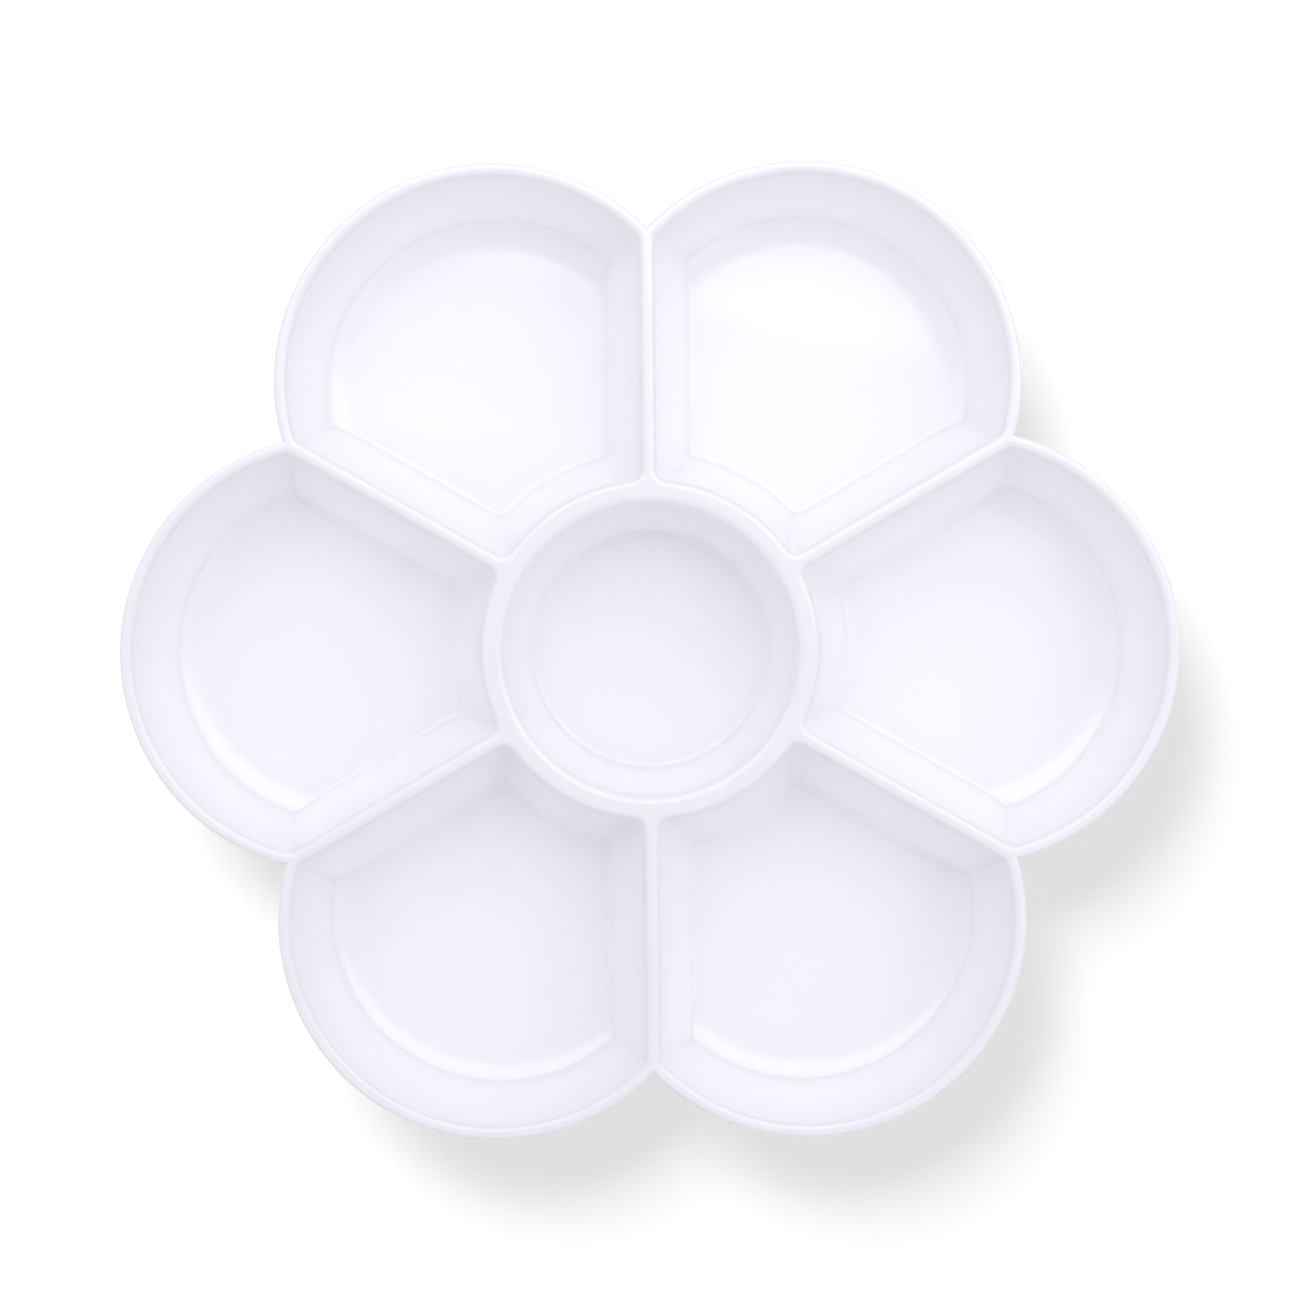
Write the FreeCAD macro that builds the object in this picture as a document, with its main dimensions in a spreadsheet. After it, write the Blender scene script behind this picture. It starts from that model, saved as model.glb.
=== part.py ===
import FreeCAD, Part
import os

import Sketcher
from FreeCAD import Placement, Rotation, Vector

# A flower-shaped paint mixing palette moulded in one piece: petal wells around one round well.
# Millimetres, +Z up. The origin is on the table, under the middle of the palette, and a petal lies
# along +X. Every wall has two skins: one inside the well, and one underneath, a wall further out.

# Driving sizes, each set in one place. Angles are in degrees.
SIZES = {
    "petal_count": 6,
    "petal_pitch": 50.0,  # middle of the palette to the middle of a petal
    "petal_radius": 35.0,  # outside of a petal, at its lip
    "well_depth": 20.0,  # from the rim to the floor of every well
    "floor_thickness": 2.0,
    "wall_thickness": 2.0,  # of every wall, measured level
    "spoke_width": 2.25,  # partition between two petals, at the rim
    "ring_inner_radius": 23.4,  # middle well, at the rim
    "ring_width": 3.8,  # round ridge between the middle well and the petals, at the rim
    "petal_draft": 15.0,  # lean of the outer wall of a petal
    "partition_draft": 16.0,  # lean of the partitions and of the outside of the ring
    "centre_draft": 10.5,  # lean of the wall of the middle well
    "bowl_round": 4.9,  # wide sweep from the outer wall of a petal to its floor
    "floor_round": 1.2,  # tight fillet along the foot of the other walls
    "corner_round": 1.8,  # upright corners where the partitions meet the ring
    "crown_round": 1.3,  # top edge of every well
    "web_depth": 4.5,  # solid plastic from the rim down to the hollows between the wells
    "lip_height": 2.4,  # upright band round the outside of the rim
    "lip_round": 0.7,
    "foot_radius": 15.5,  # outside of the ring that each petal stands on
    "foot_width": 1.6,
    "foot_height": 1.0,
    "foot_round": 0.35,
    "gate_radius": 1.6,  # trimmed stub under the middle well, where the plastic went in
    "gate_height": 0.4,
    "ejector_radius": 3.0,  # shallow round mark under each petal
    "ejector_depth": 0.15,
}

# Levels above the table, as expressions in those sizes.
WELL_FLOOR = "(Sizes.foot_height + Sizes.floor_thickness)"
RIM = "(Sizes.foot_height + Sizes.floor_thickness + Sizes.well_depth)"
LIP_FLOOR = f"({RIM} - Sizes.lip_height)"
MID_LIP = f"({RIM} - Sizes.lip_height / 2)"
WEB_FLOOR = f"({RIM} - Sizes.web_depth)"
MID_FLOOR = "(Sizes.foot_height + Sizes.floor_thickness / 2)"

HALF_PETAL = "(180 / Sizes.petal_count)"
RING_OUTER_RADIUS = "(Sizes.ring_inner_radius + Sizes.ring_width)"
LIP_ROUND = "min(Sizes.lip_round; Sizes.wall_thickness / 2)"  # leaves room for the crown

OVERRUN = 2.0  # how far a cut runs past the face that it opens
OPEN_TOP = f"({RIM} + {OVERRUN})"
CLEAR_TOP = f"({OPEN_TOP} + {OVERRUN})"
FULL_TURN = 360
NEAR = 1e-4  # two levels this close are one level
LEAST_CUT = 1.0  # volume that any real cut takes away
FILLET_SHARE = 0.9  # the most of a face that the fillets along its edges may take up


class Skin:
    """One side of the moulded wall: how high it reaches and how far out it stands.

    Below split_top a petal is parted from its neighbours and from the ring.
    """

    def __init__(self, name, floor, top, split_top, outset):
        self.name = name
        self.floor = floor
        self.top = top
        self.split_top = split_top
        self.outset = outset

    def rounded(self, alias):
        """A fillet inside the well, grown by the wall on the skin underneath."""
        return f"Sizes.{alias} + {self.outset}"

    def bowl_radius(self, rim_radius, draft, level):
        """Radius, at a level, of a wall that leans in towards the floor."""
        return f"{rim_radius} + {self.outset} - ({RIM} - {level}) * tan({draft})"

    def divider_size(self, rim_size, level):
        """Size, at a level, of a partition or the ring, which widen towards the floor."""
        return f"{rim_size} - {self.outset} + ({RIM} - {level}) * tan(Sizes.partition_draft)"

    def ring_corner_reach(self):
        """From the middle of a petal to where a partition meets the ring, at the floor."""
        gap = self.divider_size("Sizes.spoke_width / 2", self.floor)
        ring = self.divider_size(RING_OUTER_RADIUS, self.floor)
        along = f"(Sizes.petal_pitch * cos({HALF_PETAL}) - sqrt(({ring})^2 - ({gap})^2))"
        across = f"(Sizes.petal_pitch * sin({HALF_PETAL}) - ({gap}))"
        return f"sqrt({along}^2 + {across}^2)"


WELL = Skin("well", WELL_FLOOR, OPEN_TOP, CLEAR_TOP, "0")
SHELL = Skin("shell", "Sizes.foot_height", MID_LIP, WEB_FLOOR, "Sizes.wall_thickness")

doc = FreeCAD.newDocument("palette")


def limited(radius, *faces):
    """A fillet's radius, no more than its walls leave room for.

    Each face is its width, and how far the wall at its edge leans out from square.
    """
    rooms = [f"{FILLET_SHARE} * ({width}) / tan(45 - {draft} / 2)" for width, draft in faces]
    return f"min({'; '.join([radius, *rooms])})"


def fill_sheet():
    sheet = doc.addObject("Spreadsheet::Sheet", "Sizes")
    for row, (alias, value) in enumerate(SIZES.items(), start=1):
        sheet.set(f"A{row}", alias)
        sheet.set(f"B{row}", str(value))
        sheet.setAlias(f"B{row}", alias)
    doc.recompute()


def level_now(expression):
    """What a level comes to, for telling edges and faces apart."""
    return float(doc.Sizes.evalExpression(expression.replace("Sizes.", "")))


def new_body(label):
    body = doc.addObject("PartDesign::Body", label)
    body.Label = label
    return body


def own_origin(body, role):
    """One of the body's own planes or axes, as a link."""
    return (next(item for item in body.Origin.OriginFeatures if item.Role == role), [""])


def new_sketch(body, name, role, offset):
    """A sketch on one of the body's own planes, its origin moved by bound offsets."""
    sketch = body.newObject("Sketcher::SketchObject", name)
    sketch.AttachmentSupport = own_origin(body, role)
    sketch.MapMode = "FlatFace"
    for axis, expression in offset.items():
        sketch.setExpression(f".AttachmentOffset.Base.{axis}", expression)
    return sketch


def add_datum(sketch, kind, places, value, name, expression):
    """A dimension with a first value, then bound to the sheet."""
    index = sketch.addConstraint(Sketcher.Constraint(kind, *places, value))
    sketch.renameConstraint(index, name)
    sketch.setExpression(f"Constraints.{name}", expression)


def draw_trapezoid(sketch, base, top, tall):
    """Four sides from the sketch's origin: square at the back, slanting in front."""
    base_guess, top_guess, tall_guess = 30, 40, 20
    corners = [Vector(0, 0), Vector(base_guess, 0), Vector(top_guess, tall_guess), Vector(0, tall_guess)]
    for start, end in zip(corners, corners[1:] + corners[:1]):
        sketch.addGeometry(Part.LineSegment(start, end))
    bottom, front, lid, back = range(4)
    for line, following in ((bottom, front), (front, lid), (lid, back), (back, bottom)):
        sketch.addConstraint(Sketcher.Constraint("Coincident", line, 2, following, 1))
    sketch.addConstraint(Sketcher.Constraint("Coincident", bottom, 1, -1, 1))
    sketch.addConstraint(Sketcher.Constraint("Horizontal", bottom))
    sketch.addConstraint(Sketcher.Constraint("Horizontal", lid))
    sketch.addConstraint(Sketcher.Constraint("Vertical", back))
    add_datum(sketch, "DistanceX", (bottom, 1, bottom, 2), base_guess, "base", base)
    add_datum(sketch, "DistanceX", (lid, 2, lid, 1), top_guess, "top", top)
    add_datum(sketch, "DistanceY", (back, 2, back, 1), tall_guess, "tall", tall)


def draw_circles(sketch, **radii):
    """Circles about the sketch's origin, each with a named radius."""
    for guess, (name, expression) in enumerate(radii.items(), start=1):
        circle = sketch.addGeometry(Part.Circle(Vector(), Vector(0, 0, 1), guess))
        sketch.addConstraint(Sketcher.Constraint("Coincident", circle, 3, -1, 1))
        add_datum(sketch, "Radius", (circle,), guess, name, expression)


def add_feature(body, kind, name, bound=(), **settings):
    """A feature of the body with its settings, and with sizes bound to the sheet."""
    feature = body.newObject(f"PartDesign::{kind}", name)
    for key, value in settings.items():
        setattr(feature, key, value)
    for path, expression in dict(bound).items():
        feature.setExpression(path, expression)
    body.Tip = feature
    doc.recompute()
    return feature


def add_fillet(body, name, feature, is_wanted, radius):
    """Rounds the edges of a feature that pass a test."""
    edges = enumerate(feature.Shape.Edges, start=1)
    names = [f"Edge{number}" for number, edge in edges if is_wanted(edge)]
    return add_feature(body, "Fillet", name, {"Radius": radius}, Base=(feature, names))


def repeat_round(body, name, **settings):
    """Repeats a feature, or the whole shape so far, at every petal."""
    bound = {"Occurrences": "Sizes.petal_count"}
    axis = own_origin(body, "Z_Axis")
    return add_feature(body, "PolarPattern", name, bound, Axis=axis, Angle=FULL_TURN, **settings)


def join_bodies(body, name, kind, tools):
    """Adds other bodies to this one, or takes their shapes out of it."""
    step = body.newObject("PartDesign::Boolean", name)
    step.setObjects(tools)
    step.Type = kind
    doc.recompute()
    return step


def check_cut(before, after):
    """A cut that points the wrong way shows no error, so the volumes are compared."""
    if after.Shape.Volume > before.Shape.Volume - LEAST_CUT:
        raise RuntimeError(f"{after.Label} cuts nothing")


def lies_at(item, level):
    """Whether an edge or a face lies flat at a level."""
    return max(abs(vertex.Z - level) for vertex in item.Vertexes) < NEAR and item.BoundBox.ZLength < NEAR


def make_bowl(body, skin, pitch, rim_radius, draft, floor_round):
    """A round bowl with a leaning wall, its axis at a distance along X."""
    sketch = new_sketch(body, f"{body.Label}_bowl_outline", "XZ_Plane", {"x": pitch, "y": skin.floor})
    base = skin.bowl_radius(rim_radius, draft, skin.floor)
    top = skin.bowl_radius(rim_radius, draft, skin.top)
    draw_trapezoid(sketch, base, top, f"{skin.top} - {skin.floor}")
    axis = (sketch, ["V_Axis"])
    bowl = add_feature(body, "Revolution", f"{body.Label}_bowl", Profile=sketch, ReferenceAxis=axis)
    floor = level_now(skin.floor)
    name = f"{body.Label}_bowl_round"
    return add_fillet(body, name, bowl, lambda edge: lies_at(edge, floor), floor_round)


def cut_sides(body, skin, bowl):
    """Takes off the two sides of a petal, where its partitions stand."""
    low = f"({skin.floor} - {OVERRUN})"
    high = skin.split_top
    # The outline starts well past the partition's middle and faces the petal that it bounds.
    back = "Sizes.petal_radius"
    offset = {"x": f"-{back} * cos({HALF_PETAL})", "y": low, "z": f"-{back} * sin({HALF_PETAL})"}
    sketch = new_sketch(body, f"{body.Label}_side_outline", "YZ_Plane", offset)
    turn = Rotation(Vector(0, -1, 0), FULL_TURN / SIZES["petal_count"] / 2)
    sketch.AttachmentOffset = Placement(sketch.AttachmentOffset.Base, turn)
    sketch.setExpression(".AttachmentOffset.Rotation.Angle", HALF_PETAL)
    base = skin.divider_size(f"{back} + Sizes.spoke_width / 2", low)
    top = skin.divider_size(f"{back} + Sizes.spoke_width / 2", high)
    draw_trapezoid(sketch, base, top, f"{high} - {low}")
    whole_palette = {"Length": "2 * (Sizes.petal_pitch + Sizes.petal_radius)"}
    name = f"{body.Label}_side"
    side = add_feature(body, "Pocket", name, whole_palette, Profile=sketch, SideType="Symmetric")
    check_cut(bowl, side)
    plane = own_origin(body, "XZ_Plane")
    sides = add_feature(body, "Mirrored", f"{name}s", Originals=[side], MirrorPlane=plane)
    check_cut(side, sides)
    return sides


def cut_inner_end(body, skin, petal):
    """Takes off the inner end of a petal, where the ring stands."""
    low = f"({skin.floor} - {OVERRUN})"
    high = skin.split_top
    sketch = new_sketch(body, f"{body.Label}_ring_outline", "XZ_Plane", {"y": low})
    base = skin.divider_size(RING_OUTER_RADIUS, low)
    top = skin.divider_size(RING_OUTER_RADIUS, high)
    draw_trapezoid(sketch, base, top, f"{high} - {low}")
    axis = (sketch, ["V_Axis"])
    cut = add_feature(body, "Groove", f"{body.Label}_ring", Profile=sketch, ReferenceAxis=axis)
    check_cut(petal, cut)
    return cut


def make_petals(skin):
    """The space inside the petal wells, or the solid that their shells are part of."""
    body = new_body(f"petal_{skin.name}")
    rim_radius = "(Sizes.petal_radius - Sizes.wall_thickness)"
    draft = "Sizes.petal_draft"
    # The sweep ends on the floor before it gets to the corners beside the ring.
    sweep_room = f"{skin.bowl_radius(rim_radius, draft, skin.floor)} - {skin.ring_corner_reach()}"
    sweep = limited(skin.rounded("bowl_round"), (sweep_room, draft))
    bowl = make_bowl(body, skin, "Sizes.petal_pitch", rim_radius, draft, sweep)
    petal = cut_inner_end(body, skin, cut_sides(body, skin, bowl))

    floor = level_now(skin.floor)
    top = min(level_now(skin.top), level_now(skin.split_top))
    middle = SIZES["petal_pitch"]

    def is_ring_corner(edge):
        is_upright = edge.BoundBox.ZMax > top - NEAR and edge.BoundBox.ZMin < floor + NEAR
        return is_upright and edge.CenterOfMass.x < middle

    def is_divider_foot(edge):
        return lies_at(edge, floor) and edge.CenterOfMass.x < middle

    name = f"{body.Label}_corners"
    corners = add_fillet(body, name, petal, is_ring_corner, skin.rounded("corner_round"))
    # The sweep of the bowl carries this fillet on, up the two outer corners to the rim.
    name = f"{body.Label}_foot_round"
    add_fillet(body, name, corners, is_divider_foot, skin.rounded("floor_round"))
    repeat_round(body, f"{body.Label}s", TransformMode="Whole shape")
    return body


def make_centre(skin):
    """The space inside the middle well, or the solid that its shell is part of."""
    body = new_body(f"centre_{skin.name}")
    foot_round = skin.rounded("floor_round")
    make_bowl(body, skin, "0", "Sizes.ring_inner_radius", "Sizes.centre_draft", foot_round)
    return body


def make_feet():
    """A narrow ring to stand on under each petal, let into its floor."""
    body = new_body("foot_rings")
    sketch = new_sketch(body, "foot_outline", "XY_Plane", {"x": "Sizes.petal_pitch"})
    draw_circles(sketch, outer="Sizes.foot_radius", inner="Sizes.foot_radius - Sizes.foot_width")
    foot = add_feature(body, "Pad", "foot_ring", {"Length": MID_FLOOR}, Profile=sketch)
    add_fillet(body, "foot_round", foot, lambda edge: lies_at(edge, 0), "Sizes.foot_round")
    repeat_round(body, "foot_ring_all", TransformMode="Whole shape")
    return body


def make_lip(body):
    """The band at the rim: overlapping round plates, one to a petal."""
    sketch = new_sketch(body, "lip_outline", "XY_Plane", {"x": "Sizes.petal_pitch", "z": LIP_FLOOR})
    draw_circles(sketch, lip="Sizes.petal_radius")
    tall = {"Length": "Sizes.lip_height"}
    plate = add_feature(body, "Pad", "lip_plate", tall, Profile=sketch)
    rim = level_now(RIM)
    add_fillet(body, "lip_round", plate, lambda edge: lies_at(edge, rim), LIP_ROUND)
    repeat_round(body, "lip_plates", TransformMode="Whole shape")


def round_crown(body, tray):
    """Rounds the top edge of every well: the openings in the flat top face."""
    rim = level_now(RIM)
    top = max((face for face in tray.Shape.Faces if lies_at(face, rim)), key=lambda face: face.Area)
    outline = top.OuterWire.Edges

    def is_well_edge(edge):
        is_outside = any(edge.isSame(other) for other in outline)
        return any(edge.isSame(other) for other in top.Edges) and not is_outside

    half_spoke = ("Sizes.spoke_width / 2", "Sizes.partition_draft")
    rest_of_lip = (f"Sizes.wall_thickness - {LIP_ROUND}", "Sizes.petal_draft")
    radius = limited("Sizes.crown_round", half_spoke, rest_of_lip)
    add_fillet(body, "crown_round", tray, is_well_edge, radius)


def add_moulding_marks(body):
    """The gate's stub under the middle well, and a shallow ejector mark under each petal."""
    gate_end = "(Sizes.foot_height - Sizes.gate_height)"
    gate = new_sketch(body, "gate_outline", "XY_Plane", {"z": gate_end})
    draw_circles(gate, gate="Sizes.gate_radius")
    stub = add_feature(body, "Pad", "gate_stub", {"Length": f"{MID_FLOOR} - {gate_end}"}, Profile=gate)
    place = {"x": "Sizes.petal_pitch", "z": "Sizes.foot_height"}
    mark = new_sketch(body, "ejector_outline", "XY_Plane", place)
    draw_circles(mark, mark="Sizes.ejector_radius")
    depth = {"Length": "Sizes.ejector_depth"}
    first = add_feature(body, "Pocket", "ejector_mark", depth, Profile=mark, Reversed=True)
    check_cut(stub, first)
    repeat_round(body, "ejector_marks", Originals=[first])


def make_tray():
    """The whole palette: shells, feet and lip in one piece, with the wells taken out."""
    shells = [make_petals(SHELL), make_centre(SHELL), make_feet()]
    wells = [make_petals(WELL), make_centre(WELL)]
    body = new_body("palette_tray")
    make_lip(body)
    filled = join_bodies(body, "filled_palette", "Fuse", shells)
    hollow = join_bodies(body, "open_wells", "Cut", wells)
    check_cut(filled, hollow)
    round_crown(body, hollow)
    add_moulding_marks(body)
    return body


def check_document():
    for item in doc.Objects:
        if "Invalid" in item.State or "Error" in item.State:
            raise RuntimeError(f"{item.Label} failed to build")


def write_piece(body):
    shape = body.Shape
    if shape.isNull() or not shape.isValid() or len(shape.Solids) != 1:
        raise RuntimeError(f"{body.Label} is not one sound solid")
    os.makedirs("parts", exist_ok=True)
    shape.exportStep(f"parts/{body.Label}.step")


fill_sheet()
tray = make_tray()
check_document()
write_piece(tray)
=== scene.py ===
import math

import bmesh
import bpy
from mathutils import Matrix, Vector


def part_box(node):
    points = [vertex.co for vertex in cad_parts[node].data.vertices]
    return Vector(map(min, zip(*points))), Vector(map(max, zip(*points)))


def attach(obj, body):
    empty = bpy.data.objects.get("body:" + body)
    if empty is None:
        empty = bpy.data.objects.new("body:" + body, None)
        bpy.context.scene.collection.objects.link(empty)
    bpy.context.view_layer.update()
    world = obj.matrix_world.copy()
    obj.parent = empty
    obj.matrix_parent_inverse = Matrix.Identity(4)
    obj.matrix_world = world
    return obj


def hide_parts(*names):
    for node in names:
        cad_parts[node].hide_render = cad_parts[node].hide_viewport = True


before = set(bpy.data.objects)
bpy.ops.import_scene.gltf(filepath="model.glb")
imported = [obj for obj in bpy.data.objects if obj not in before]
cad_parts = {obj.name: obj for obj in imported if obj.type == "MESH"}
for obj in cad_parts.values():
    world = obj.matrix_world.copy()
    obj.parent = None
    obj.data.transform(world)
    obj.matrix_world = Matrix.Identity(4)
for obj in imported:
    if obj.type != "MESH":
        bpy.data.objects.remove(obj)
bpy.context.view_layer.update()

# The palette's sizes, in millimetres, as it was moulded. Heights are above the table.
MM = 0.001
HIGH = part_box("palette_tray")[1] / MM  # upper corner of the CAD model
RIM = HIGH.z
PETALS = 6
PETAL_RADIUS = 35.0  # outside of a petal, at its lip
PITCH = HIGH.x - PETAL_RADIUS  # middle of the palette to the middle of a petal
FOOT_HEIGHT = 1.0
FLOOR_THICKNESS = 2.0
WALL = 2.0
HALF_SPOKE = 2.25 / 2  # half of a partition between two petals, at the rim
RING_INNER = 23.4  # middle well, at the rim
RING_OUTER = 27.2  # inner end of the petal wells, at the rim
BOWL_SWEEP = 8.0  # wide arc from a petal's floor towards its outer wall
BOWL_TURN = math.radians(34.0)  # how far the wide arc turns before the tighter one
BOWL_KNEE = 1.0  # tighter arc from there into the wall
FOOT_FILLET = 1.2  # along the foot of the other walls
RING_CORNER = 1.8  # upright corners where the partitions meet the ring
OUTER_CORNER = 1.2  # upright corners where the partitions meet the outer wall
LEAST_CORNER = 0.15  # no upright corner is tighter than this
CROWN = 1.3  # top edge of the petal wells
CENTRE_CROWN = 1.9  # top edge of the middle well, which is rounder
WEB_DEPTH = 4.5  # from the rim down to the hollows between the wells
LIP_HEIGHT = 2.4  # upright band round the outside of the rim
LIP_ROUND = 0.7
FOOT_RADIUS = 15.5  # outside of the ring that each petal stands on
FOOT_WIDTH = 1.6
FOOT_ROUND = 0.35
MARK_RADIUS = 3.0  # ejector mark under each petal
MARK_DEPTH = 0.15
GATE_RADIUS = 1.6  # gate stub under the middle well
GATE_HEIGHT = 0.4
SPLIT = RIM - WEB_DEPTH  # below this level every well has an outside of its own

# How far each wall leans from upright.
BOWL_LEAN = math.radians(14.1)  # a petal's outer wall
PARTITION_LEAN = math.radians(16.0)  # the partitions and the ring's outside
CENTRE_LEAN = math.radians(10.5)  # the middle well's wall

# How finely half of a petal's outline is cut: outer wall, outer corner, partition, ring corner
# and ring.
WELL_STEPS = (48, 6, 16, 10, 8)
SHELL_STEPS = (40, 5, 8, 8, 6)
# How finely a petal's wall is cut from its floor up: wide arc, tighter arc and straight wall.
WELL_LEVELS = (14, 6, 5)
SHELL_LEVELS = (10, 5, 4)
# The same for the middle well's wall: fillet and straight wall.
CENTRE_WELL_LEVELS = (9, 5)
CENTRE_SHELL_LEVELS = (8, 4)
ROUND_STEPS = 144  # around the middle well and the gate stub
NOTCH_STEPS = 4  # the last of a petal's arc, into the notch between two petals
CROWN_STEPS = 9  # up the rounded top edge of a well
LIP_STEPS = 7  # round the outer edge of the rim
FOOT_STEPS = 3  # round each edge of a foot ring
FLOOR_SHARES = (0.985, 0.8, 0.55, 0.25)  # rows across a floor, as shares of its outline
SAME_LEVEL = LEAST_CORNER / 10  # points this near in height are on one level
WELD_DISTANCE = LEAST_CORNER / 100  # points this near are one point
SHARP_EDGE = math.radians(32)  # edges that fold further than this stay crisp

# The spoke on the +Y side of the petal on +X: the directions along it and across it towards that
# petal, and the petal's middle measured in them.
HALF_PETAL = math.pi / PETALS
ALONG = Vector((math.cos(HALF_PETAL), math.sin(HALF_PETAL)))
ACROSS = Vector((math.sin(HALF_PETAL), -math.cos(HALF_PETAL)))
PETAL_MIDDLE = Vector((PITCH, 0))
PETAL_ALONG = PETAL_MIDDLE.dot(ALONG)
PETAL_ACROSS = PETAL_MIDDLE.dot(ACROSS)


# ---------------------------------------------------------------- outlines


def tangent_length(radius, lean):
    """From a sharp edge to where its fillet starts, for a wall that leans from upright."""
    return radius * math.tan((math.pi / 2 - lean) / 2)


class Skin:
    """One side of the moulded wall: inside the wells, or underneath and a wall further out."""

    def __init__(self, floor, outset, crown):
        self.floor = floor
        self.outset = outset
        self.crown = crown

    def straight(self, level, lean):
        """How far a wall stands out from its place at the rim, without its fillets."""
        return self.outset - (RIM - level) * math.tan(lean)

    def crowned(self, level, lean):
        """The same with the rounded crown at its top."""
        rise = level - (RIM - self.crown)
        if self.crown and rise > self.crown * math.sin(lean):
            return tangent_length(self.crown, lean) - math.sqrt(max(self.crown**2 - rise**2, 0))
        return self.straight(level, lean)

    def reach(self, level, lean):
        """The same with the crown and the fillet at its foot."""
        radius = FOOT_FILLET + self.outset
        height = level - self.floor
        if height < radius * (1 - math.sin(lean)):
            start = self.straight(self.floor, lean) - tangent_length(radius, lean)
            return start + math.sqrt(max(radius**2 - (radius - height) ** 2, 0))
        return self.crowned(level, lean)

    def bowl_arcs(self):
        """Radii of the two arcs at a petal's foot, and how high above its floor each one ends."""
        wide, knee = BOWL_SWEEP + self.outset, BOWL_KNEE + self.outset
        wide_end = wide * (1 - math.cos(BOWL_TURN))
        knee_end = wide_end + knee * (math.cos(BOWL_TURN) - math.sin(BOWL_LEAN))
        return wide, knee, wide_end, knee_end

    def bowl(self, level):
        """How far a petal's outer wall stands out, with its crown and the arcs at its foot."""
        wide, knee, wide_end, knee_end = self.bowl_arcs()
        height = level - self.floor
        if height >= knee_end:
            return self.crowned(level, BOWL_LEAN)
        start = self.straight(self.floor + knee_end, BOWL_LEAN)
        start -= (wide - knee) * math.sin(BOWL_TURN) + knee * math.cos(BOWL_LEAN)
        if height < wide_end:
            return start + math.sqrt(max(wide**2 - (wide - height) ** 2, 0))
        upright = math.cos(BOWL_TURN) - (height - wide_end) / knee
        across = math.sqrt(1 - upright**2)
        return start + (wide - knee) * math.sin(BOWL_TURN) + knee * across

    def outer_radius(self, level):
        """From a petal's middle to its outer wall."""
        return PETAL_RADIUS - WALL + self.bowl(level)

    def ring_radius(self, level):
        """From the palette's middle to the inner end of the petal wells."""
        return RING_OUTER - self.reach(level, PARTITION_LEAN)

    def centre_radius(self, level):
        """From the palette's middle to the middle well's wall."""
        return RING_INNER + self.reach(level, CENTRE_LEAN)

    def half_spoke(self, level):
        """From the middle of a spoke to the partition's face."""
        return HALF_SPOKE - self.reach(level, PARTITION_LEAN)

    def corner(self, radius, level):
        """An upright corner's radius, which follows the partition's fillets."""
        moved = self.reach(level, PARTITION_LEAN) - self.straight(level, PARTITION_LEAN)
        return max(radius + self.outset + moved, LEAST_CORNER)


WELL = Skin(FOOT_HEIGHT + FLOOR_THICKNESS, 0.0, CROWN)
CENTRE_WELL = Skin(FOOT_HEIGHT + FLOOR_THICKNESS, 0.0, CENTRE_CROWN)
SHELL = Skin(FOOT_HEIGHT, WALL, 0.0)


def arc(centre, radius, start, end, steps):
    """Points along an arc, without its last one."""
    angles = [start + (end - start) * step / steps for step in range(steps)]
    return [centre + radius * Vector((math.cos(angle), math.sin(angle))) for angle in angles]


def line(start, end, steps):
    """Points along a line, without its last one."""
    return [start.lerp(end, step / steps) for step in range(steps)]


def heading(vector):
    """A direction's angle, counterclockwise from +X."""
    return math.atan2(vector.y, vector.x)


def mirrored(points):
    """The same points on the other side of the X axis, last one first."""
    return [Vector((point.x, -point.y)) for point in reversed(points)]


def turned(point, index):
    """A point of the petal on +X, moved to another petal."""
    return Matrix.Rotation(2 * HALF_PETAL * index, 2) @ point


def outer_corner(skin, level):
    """Radius and middle of the corner between the outer wall and the partition."""
    radius = skin.corner(OUTER_CORNER, level)
    across = skin.half_spoke(level) + radius
    beyond = math.sqrt((skin.outer_radius(level) - radius) ** 2 - (PETAL_ACROSS - across) ** 2)
    return radius, (PETAL_ALONG + beyond) * ALONG + across * ACROSS


def ring_corner(skin, level):
    """Radius and middle of the corner between the partition and the ring."""
    radius = skin.corner(RING_CORNER, level)
    across = skin.half_spoke(level) + radius
    along = math.sqrt((skin.ring_radius(level) + radius) ** 2 - across**2)
    return radius, along * ALONG + across * ACROSS


def petal_outline(skin, level, steps):
    """The wall of the petal on +X at one level, all round, from its outer end."""
    ring = skin.ring_radius(level)
    outer_round, outer_middle = outer_corner(skin, level)
    ring_round, ring_middle = ring_corner(skin, level)
    to_spoke = heading(-ACROSS)
    turn_in = heading(outer_middle - PETAL_MIDDLE)
    inner_turn = heading(ring_middle) + math.pi
    on_outer, on_outer_corner, on_side, on_ring_corner, on_ring = steps
    half = arc(PETAL_MIDDLE, skin.outer_radius(level), 0, turn_in, on_outer)
    half += arc(outer_middle, outer_round, turn_in, to_spoke, on_outer_corner)
    side = [outer_middle - outer_round * ACROSS, ring_middle - ring_round * ACROSS]
    half += line(*side, on_side)
    half += arc(ring_middle, ring_round, to_spoke, inner_turn, on_ring_corner)
    half += arc(Vector((0, 0)), ring, heading(ring_middle), 0, on_ring)
    return half + [Vector((ring, 0))] + mirrored(half[1:])


def round_outline(radius):
    """A circle round the middle of the palette."""
    return arc(Vector((0, 0)), radius, 0, 2 * math.pi, ROUND_STEPS)


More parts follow.
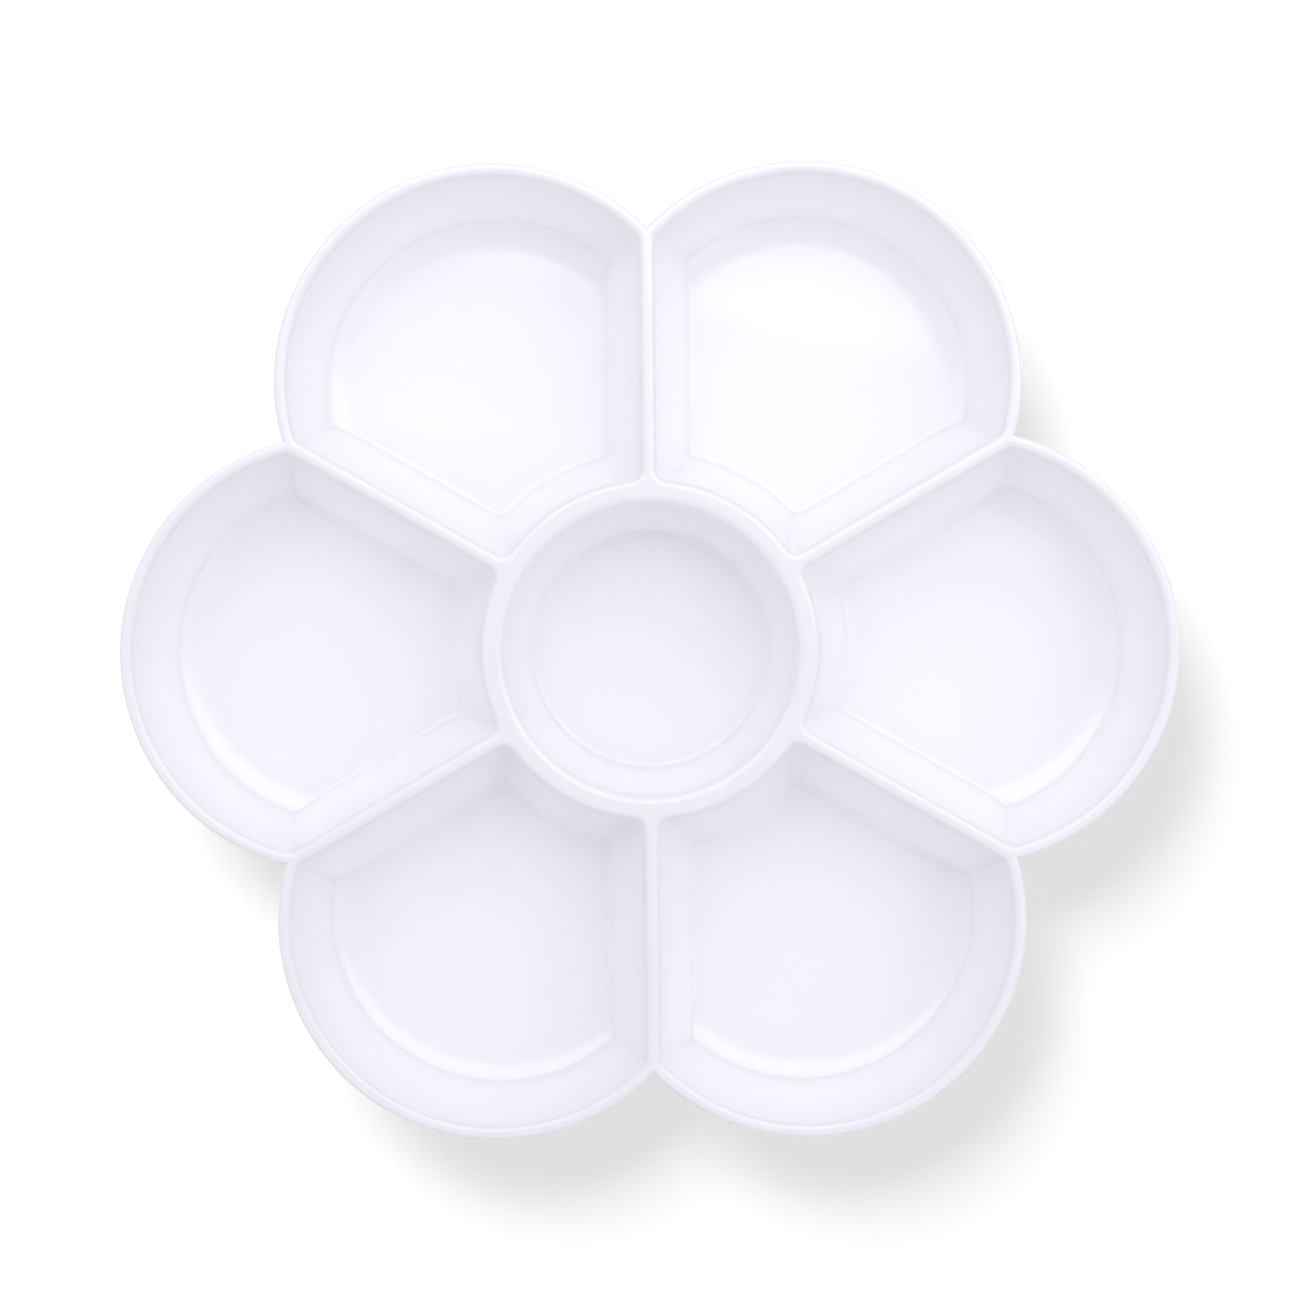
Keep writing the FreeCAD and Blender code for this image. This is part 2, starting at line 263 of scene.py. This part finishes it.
def flower_outline(radius, steps):
    """Overlapping circles from outside, one for each petal, drawn from notch to notch.

    The part of each arc that the shell below shares is cut into the same steps.
    """
    on_outer, on_notch = steps
    notch = PETAL_ALONG + math.sqrt(radius**2 - PETAL_ACROSS**2)
    notch_turn = heading(notch * ALONG - PETAL_MIDDLE)
    shared_turn = heading(outer_corner(SHELL, SPLIT)[1] - PETAL_MIDDLE)
    half = arc(PETAL_MIDDLE, radius, 0, shared_turn, on_outer)
    half += arc(PETAL_MIDDLE, radius, shared_turn, notch_turn, on_notch)
    petal = mirrored(half[1:] + [notch * ALONG]) + half
    return [turned(point, index) for index in range(PETALS) for point in petal]


# ---------------------------------------------------------------- levels


def fillet_levels(base, radius, start, end, steps):
    """Levels up a fillet from its floor, evenly spaced by angle."""
    turns = [start + (end - start) * step / steps for step in range(steps)]
    return [base + radius * (1 - math.cos(turn)) for turn in turns]


def even_levels(start, end, steps):
    """Evenly spaced levels up a straight wall, without its top."""
    return [start + (end - start) * step / steps for step in range(steps)]


def petal_levels(skin, top, steps):
    """From the floor up: the wide arc, the tighter one and the straight wall."""
    on_wide, on_knee, on_wall = steps
    wide, knee, wide_end, knee_end = skin.bowl_arcs()
    knee_base = skin.floor + wide_end - knee * (1 - math.cos(BOWL_TURN))
    levels = fillet_levels(skin.floor, wide, 0, BOWL_TURN, on_wide)
    levels += fillet_levels(knee_base, knee, BOWL_TURN, math.pi / 2 - BOWL_LEAN, on_knee)
    return levels + even_levels(skin.floor + knee_end, top, on_wall)


def centre_levels(skin, top, steps):
    """From the floor up: the fillet and the straight wall."""
    on_foot, on_wall = steps
    radius = FOOT_FILLET + skin.outset
    foot_end = radius * (1 - math.sin(CENTRE_LEAN))
    levels = fillet_levels(skin.floor, radius, 0, math.pi / 2 - CENTRE_LEAN, on_foot)
    return levels + even_levels(skin.floor + foot_end, top, on_wall)


def crown_levels(skin, lean):
    """The rounded top edge of a well, from the wall up to the rim."""
    start = math.pi / 2 - lean
    turns = [start * (1 - step / CROWN_STEPS) for step in range(CROWN_STEPS + 1)]
    return [RIM - skin.crown * (1 - math.cos(turn)) for turn in turns]


def quarter_round(radius, steps):
    """How far a rounded edge lies in from its side and short of its end, from side to end."""
    turns = [math.pi / 2 * step / steps for step in range(steps + 1)]
    return [(radius * (1 - math.cos(turn)), radius * (1 - math.sin(turn))) for turn in turns]


# ---------------------------------------------------------------- mesh


class Mould:
    """Collects the palette's surface, strip by strip, in millimetres."""

    def __init__(self):
        self.mesh = bmesh.new()

    def ring(self, outline, level):
        """A closed row of vertices."""
        return [self.mesh.verts.new((point.x, point.y, level)) for point in outline]

    def strip(self, first, second):
        """Faces between two closed rows of vertices, one to one."""
        after_first = first[1:] + first[:1]
        after_second = second[1:] + second[:1]
        for corners in zip(first, after_first, after_second, second):
            self.mesh.faces.new(corners)

    def loft(self, sections):
        """A wall through (outline, level) sections. Returns its first row."""
        rows = [self.ring(outline, level) for outline, level in sections]
        for first, second in zip(rows, rows[1:]):
            self.strip(first, second)
        return rows[0]

    def floor(self, row, middle, shares):
        """A flat floor inside a row, in narrowing rows round a middle point."""
        level = row[0].co.z
        start = [vertex.co.xy.copy() for vertex in row]
        for share in shares:
            inner = self.ring([middle.lerp(point, share) for point in start], level)
            self.strip(row, inner)
            row = inner
        hub = self.mesh.verts.new((middle.x, middle.y, level))
        for corners in zip(row, row[1:] + row[:1]):
            self.mesh.faces.new((*corners, hub))

    def close_level(self, level):
        """Fills the flat region that the open edges at one level enclose."""
        on_level = [
            edge
            for edge in self.mesh.edges
            if edge.is_boundary and all(abs(end.co.z - level) < SAME_LEVEL for end in edge.verts)
        ]
        up = (0, 0, 1)
        bmesh.ops.triangle_fill(self.mesh, use_beauty=True, edges=on_level, normal=up)

    def weld(self):
        """Joins the strips where they share an edge."""
        bmesh.ops.remove_doubles(self.mesh, verts=self.mesh.verts, dist=WELD_DISTANCE)


def petal_sections(skin, index, levels, steps):
    """One petal's outlines, each with its level."""
    return [
        ([turned(point, index) for point in petal_outline(skin, level, steps)], level)
        for level in levels
    ]


def centre_sections(skin, levels):
    """The middle well's outlines, each with its level."""
    return [(round_outline(skin.centre_radius(level)), level) for level in levels]


def add_petal_well(mould, index):
    """The inside of one petal: its wall, its crown and its floor."""
    crown = crown_levels(WELL, PARTITION_LEAN)
    levels = petal_levels(WELL, crown[0], WELL_LEVELS) + crown
    row = mould.loft(petal_sections(WELL, index, levels, WELL_STEPS))
    mould.floor(row, turned(PETAL_MIDDLE, index), FLOOR_SHARES)


def add_centre_well(mould):
    """The inside of the middle well: its wall, its crown and its floor."""
    crown = crown_levels(CENTRE_WELL, CENTRE_LEAN)
    levels = centre_levels(CENTRE_WELL, crown[0], CENTRE_WELL_LEVELS) + crown
    row = mould.loft(centre_sections(CENTRE_WELL, levels))
    mould.floor(row, Vector((0, 0)), FLOOR_SHARES)


def foot_profile():
    """Radius and level down the outside of a foot ring, under it, and up its inside."""
    inner = FOOT_RADIUS - FOOT_WIDTH
    edge = quarter_round(FOOT_ROUND, FOOT_STEPS)
    down = [(FOOT_RADIUS - inward, level) for inward, level in edge]
    up = [(inner + inward, level) for inward, level in reversed(edge)]
    return [(FOOT_RADIUS, FOOT_HEIGHT)] + down + up + [(inner, FOOT_HEIGHT)]


def add_petal_shell(mould, index):
    """The underside of one petal: its wall, its foot ring and the ejector mark inside that."""
    middle = turned(PETAL_MIDDLE, index)
    levels = petal_levels(SHELL, SPLIT, SHELL_LEVELS) + [SPLIT]
    row = mould.loft(petal_sections(SHELL, index, levels, SHELL_STEPS))
    rays = [(vertex.co.xy - middle).normalized() for vertex in row]
    mark = [(MARK_RADIUS, FOOT_HEIGHT), (MARK_RADIUS, FOOT_HEIGHT + MARK_DEPTH)]
    for radius, level in foot_profile() + mark:
        inner = mould.ring([middle + radius * ray for ray in rays], level)
        mould.strip(row, inner)
        row = inner
    mould.floor(row, middle, ())


def add_centre_shell(mould):
    """The underside of the middle well, with the gate stub."""
    levels = centre_levels(SHELL, SPLIT, CENTRE_SHELL_LEVELS) + [SPLIT]
    row = mould.loft(centre_sections(SHELL, levels))
    for level in (FOOT_HEIGHT, FOOT_HEIGHT - GATE_HEIGHT):
        inner = mould.ring(round_outline(GATE_RADIUS), level)
        mould.strip(row, inner)
        row = inner
    mould.floor(row, Vector((0, 0)), ())


def add_lip(mould):
    """The outside of the wall above the hollows, and the upright band at the rim."""
    lip_floor = RIM - LIP_HEIGHT
    wall = [
        (PETAL_RADIUS - (RIM - level) * math.tan(BOWL_LEAN), level) for level in (SPLIT, lip_floor)
    ]
    band = [(PETAL_RADIUS, lip_floor)]
    band += [
        (PETAL_RADIUS - inward, RIM - below)
        for inward, below in quarter_round(LIP_ROUND, LIP_STEPS)
    ]
    steps = (SHELL_STEPS[0], NOTCH_STEPS)
    mould.loft([(flower_outline(radius, steps), level) for radius, level in wall + band])


def finish_mesh(mould, name):
    """Checks that the surface is closed, turns it outward and makes the object."""
    mesh = mould.mesh
    open_edges = [edge for edge in mesh.edges if not edge.is_manifold]
    if open_edges:
        raise RuntimeError(f"{name} has {len(open_edges)} open edges")
    bmesh.ops.recalc_face_normals(mesh, faces=mesh.faces)
    for edge in mesh.edges:
        edge.smooth = edge.calc_face_angle() < SHARP_EDGE
    for face in mesh.faces:
        face.smooth = True
    bmesh.ops.scale(mesh, vec=(MM, MM, MM), verts=mesh.verts)
    data = bpy.data.meshes.new(name)
    mesh.to_mesh(data)
    mesh.free()
    tray = bpy.data.objects.new(name, data)
    bpy.context.scene.collection.objects.link(tray)
    weighted = tray.modifiers.new("flat_faces_stay_flat", "WEIGHTED_NORMAL")
    weighted.keep_sharp = True
    return tray


def build_tray():
    """The whole palette as one closed mesh."""
    mould = Mould()
    for index in range(PETALS):
        add_petal_well(mould, index)
        add_petal_shell(mould, index)
    add_centre_well(mould)
    add_centre_shell(mould)
    add_lip(mould)
    mould.weld()
    mould.close_level(RIM)
    mould.close_level(SPLIT)
    return finish_mesh(mould, "palette")


# ---------------------------------------------------------------- materials

PLASTIC_WHITES = ((0.958, 0.960, 0.966, 1), (0.968, 0.969, 0.973, 1))  # it drifts between them
RIM_SHADE_WHITE = (0.900, 0.902, 0.907, 1)  # painted shade on the rim tops, which catch more light than the wells
TABLE_SHADE = 0.2  # share of the light that the table gives back


def new_material(name):
    """A material with its nodes, its links and its shader."""
    material = bpy.data.materials.new(name)
    material.use_nodes = True
    nodes, links = material.node_tree.nodes, material.node_tree.links
    return material, nodes, links, nodes["Principled BSDF"]


def noise(nodes, links, place, size, detail, roughness=0.5):
    """Noise whose patches are about this size, in millimetres."""
    texture = nodes.new("ShaderNodeTexNoise")
    texture.inputs["Scale"].default_value = 1 / (size * MM)
    texture.inputs["Detail"].default_value = detail
    texture.inputs["Roughness"].default_value = roughness
    links.new(place, texture.inputs["Vector"])
    return texture.outputs["Fac"]


def spread(nodes, links, value, low, high):
    """Maps the middle range of a noise to low..high."""
    mapping = nodes.new("ShaderNodeMapRange")
    mapping.inputs["From Min"].default_value = 0.3
    mapping.inputs["From Max"].default_value = 0.7
    mapping.inputs["To Min"].default_value = low
    mapping.inputs["To Max"].default_value = high
    links.new(value, mapping.inputs["Value"])
    return mapping.outputs["Result"]


def bump(nodes, links, height, strength, depth, under=None):
    """Relief of about this depth, in millimetres, over the relief that is under it."""
    relief = nodes.new("ShaderNodeBump")
    relief.inputs["Strength"].default_value = strength
    relief.inputs["Distance"].default_value = depth * MM
    links.new(height, relief.inputs["Height"])
    if under is not None:
        links.new(under, relief.inputs["Normal"])
    return relief.outputs["Normal"]


def rim_shade_mask(nodes, links, place):
    """1 on the rim tops, where shade is painted, 0 a little way down their walls, unevenly."""
    height = nodes.new("ShaderNodeSeparateXYZ")
    links.new(place, height.inputs["Vector"])
    rise = nodes.new("ShaderNodeMapRange")
    rise.interpolation_type = "SMOOTHSTEP"
    rise.inputs["From Min"].default_value = (RIM - CROWN) * MM
    rise.inputs["From Max"].default_value = (RIM - CROWN / 4) * MM
    links.new(height.outputs["Z"], rise.inputs["Value"])
    patches = nodes.new("ShaderNodeMath")
    patches.operation = "MULTIPLY"
    links.new(rise.outputs["Result"], patches.inputs[0])
    unevenness = noise(nodes, links, place, size=12, detail=3)
    links.new(spread(nodes, links, unevenness, low=0.8, high=1), patches.inputs[1])
    return patches.outputs["Value"]


def gloss_plastic():
    """White moulded plastic: even colour with painted shade on the rim tops, a polished face that
    waves a little, faint scuffs.
    """
    material, nodes, links, shader = new_material("gloss_white_plastic")
    place = nodes.new("ShaderNodeTexCoord").outputs["Object"]

    tint = nodes.new("ShaderNodeMix")
    tint.data_type = "RGBA"
    tint.inputs["A"].default_value, tint.inputs["B"].default_value = PLASTIC_WHITES
    drift = noise(nodes, links, place, size=30, detail=3)
    links.new(spread(nodes, links, drift, low=0, high=1), tint.inputs["Factor"])
    # painted shade: the rim tops are made darker, as they catch more light than the wells
    rim_shaded = nodes.new("ShaderNodeMix")
    rim_shaded.data_type = "RGBA"
    rim_shaded.inputs["B"].default_value = RIM_SHADE_WHITE
    links.new(tint.outputs["Result"], rim_shaded.inputs["A"])
    links.new(rim_shade_mask(nodes, links, place), rim_shaded.inputs["Factor"])
    links.new(rim_shaded.outputs["Result"], shader.inputs["Base Color"])

    scuffs = noise(nodes, links, place, size=9, detail=6, roughness=0.65)
    links.new(spread(nodes, links, scuffs, low=0.05, high=0.09), shader.inputs["Roughness"])

    swell = noise(nodes, links, place, size=16, detail=1)
    waves = bump(nodes, links, swell, strength=0.5, depth=0.05)
    specks = noise(nodes, links, place, size=1.1, detail=3)
    grain = bump(nodes, links, specks, strength=0.3, depth=0.004, under=waves)
    links.new(grain, shader.inputs["Normal"])

    shader.inputs["IOR"].default_value = 1.5
    shader.inputs["Subsurface Weight"].default_value = 0.05
    shader.inputs["Subsurface Radius"].default_value = (1.0, 0.95, 0.9)
    shader.inputs["Subsurface Scale"].default_value = 1.5 * MM
    return material


def table_paper():
    """Plain matt white for the table."""
    material, _, _, shader = new_material("table_white")
    shader.inputs["Base Color"].default_value = (TABLE_SHADE, TABLE_SHADE, TABLE_SHADE, 1)
    shader.inputs["Roughness"].default_value = 0.9
    shader.inputs["Specular IOR Level"].default_value = 0.0
    return material


# ---------------------------------------------------------------- studio

STUDIO_TINT = (0.920, 0.926, 1.0)  # daylight, a little blue
WINDOW_AZIMUTH = 78  # counterclockwise from +X, in degrees
BOX_HEIGHT = 0.37  # of the softboxes above the table, in metres
WINDOW_EDGE = 0.048  # where the window starts ahead of the palette's middle, in metres
CARD_DROP = 0.01  # the card hangs this far under the window, or a ray would meet only one of them
TABLE_HALF = 8.0  # half of the table's side, in metres, so that its edge lies far off


def collection_of(name, *objects):
    """A collection that only serves to say which objects a lamp lights."""
    group = bpy.data.collections.new(name)
    for item in objects:
        group.objects.link(item)
    return group


def add_floor():
    """The table, which is only the stage."""
    half = TABLE_HALF
    corners = [(-half, -half, 0), (half, -half, 0), (half, half, 0), (-half, half, 0)]
    data = bpy.data.meshes.new("table")
    data.from_pydata(corners, [], [(0, 1, 2, 3)])
    floor = bpy.data.objects.new("table", data)
    bpy.context.scene.collection.objects.link(floor)
    floor.data.materials.append(table_paper())
    return floor


def towards(azimuth, tilt):
    """Direction to a lamp: azimuth counterclockwise from +X, tilt from straight up, in degrees."""
    around, down = math.radians(azimuth), math.radians(tilt)
    flat = math.sin(down)
    return Vector((math.cos(around) * flat, math.sin(around) * flat, math.cos(down)))


def add_lamp(name, size, radiance, lit, colour):
    """A rectangular lamp with the radiance of its face, which lights only some objects."""
    width, height = size
    lamp = bpy.data.lights.new(name, "AREA")
    lamp.shape = "RECTANGLE"
    lamp.size, lamp.size_y = width, height
    lamp.energy = radiance * math.pi * width * height
    lamp.color = colour
    panel = bpy.data.objects.new(name, lamp)
    panel.visible_camera = False
    panel.light_linking.receiver_collection = lit
    bpy.context.scene.collection.objects.link(panel)
    return panel


def add_table_lamp(name, lit, azimuth, tilt, distance, side, share):
    """A square lamp, turned to the palette, that gives the table a share of full white."""
    facing = side**2 * math.cos(math.radians(tilt)) / distance**2
    lamp = add_lamp(name, (side, side), share * math.pi / (TABLE_SHADE * facing), lit, (1, 1, 1))
    direction = towards(azimuth, tilt)
    lamp.location = direction * distance
    lamp.rotation_euler = direction.to_track_quat("Z", "Y").to_euler()


def add_softbox(name, lit, ahead, sideways, radiance):
    """A level softbox. Ahead, towards the window, and sideways each give its two edges."""
    size = (sideways[1] - sideways[0], ahead[1] - ahead[0])
    lamp = add_lamp(name, size, radiance, lit, STUDIO_TINT)
    middle = Vector((sum(sideways) / 2, sum(ahead) / 2, BOX_HEIGHT))
    turn = math.radians(WINDOW_AZIMUTH - 90)
    lamp.location = Matrix.Rotation(turn, 3, "Z") @ middle
    lamp.rotation_euler = (0, 0, turn)
    return lamp


def add_world(strength, colour):
    """Even light from all round."""
    world = bpy.data.worlds.new("studio")
    world.use_nodes = True
    background = world.node_tree.nodes["Background"]
    background.inputs["Color"].default_value = (*colour, 1)
    background.inputs["Strength"].default_value = strength
    bpy.context.scene.world = world


def add_camera():
    """Straight above the palette, with a 79 mm lens that frames it, turned half a degree."""
    view_width = 208.1 * MM  # what the picture spans at the rim's level
    distance = 456 * MM  # from the rim
    turn = math.radians(-0.48)
    data = bpy.data.cameras.new("camera")
    data.sensor_width = 36
    data.lens = data.sensor_width * distance / view_width
    camera = bpy.data.objects.new("camera", data)
    camera.location = (0, 0, RIM * MM + distance)
    camera.rotation_euler = (0, 0, turn)
    bpy.context.scene.collection.objects.link(camera)
    bpy.context.scene.camera = camera


def add_palette_lights(lit):
    """Softboxes side by side above the palette, and the card that its glossy wells reflect."""
    beside_window = (-0.45, WINDOW_EDGE)
    add_softbox("window", lit, ahead=(WINDOW_EDGE, 0.45), sideways=(-0.8, 0.8), radiance=1.16)
    add_softbox("far_window", lit, ahead=(0.45, 1.4), sideways=(-1.0, 1.0), radiance=0.75)
    add_softbox("left_box", lit, ahead=beside_window, sideways=(-0.8, -0.25), radiance=0.84)
    add_softbox("right_box", lit, ahead=beside_window, sideways=(0.25, 0.8), radiance=1.13)
    add_softbox("top_box", lit, ahead=beside_window, sideways=(-0.25, 0.25), radiance=0.45)
    add_softbox("back_box", lit, ahead=(-0.9, -0.45), sideways=(-0.8, 0.8), radiance=0.71)
    card = add_softbox(
        "reflection_card", lit, ahead=(0.10, 0.60), sideways=(-0.4, 0.4), radiance=1.50
    )
    card.location.z -= CARD_DROP
    card.visible_diffuse = False  # it only shows as the crescents in the glossy wells


def add_studio(tray):
    """The table, the lights and the camera. The palette and the table have lamps of their own."""
    floor = add_floor()
    on_tray = collection_of("lit_palette", tray)
    on_floor = collection_of("lit_table", floor)
    add_world(strength=0.30, colour=STUDIO_TINT)
    add_palette_lights(on_tray)
    add_table_lamp("table_top_lamp", on_floor, azimuth=0, tilt=0, distance=8.0, side=1.6, share=0.68)
    add_table_lamp(
        "table_side_lamp", on_floor, azimuth=120, tilt=38, distance=1.6, side=0.67, share=0.36
    )
    add_camera()
    view = bpy.context.scene.view_settings
    view.view_transform = "Standard"
    view.look = "None"


tray = build_tray()
tray.data.materials.append(gloss_plastic())
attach(tray, "root")
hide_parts("palette_tray")
add_studio(tray)
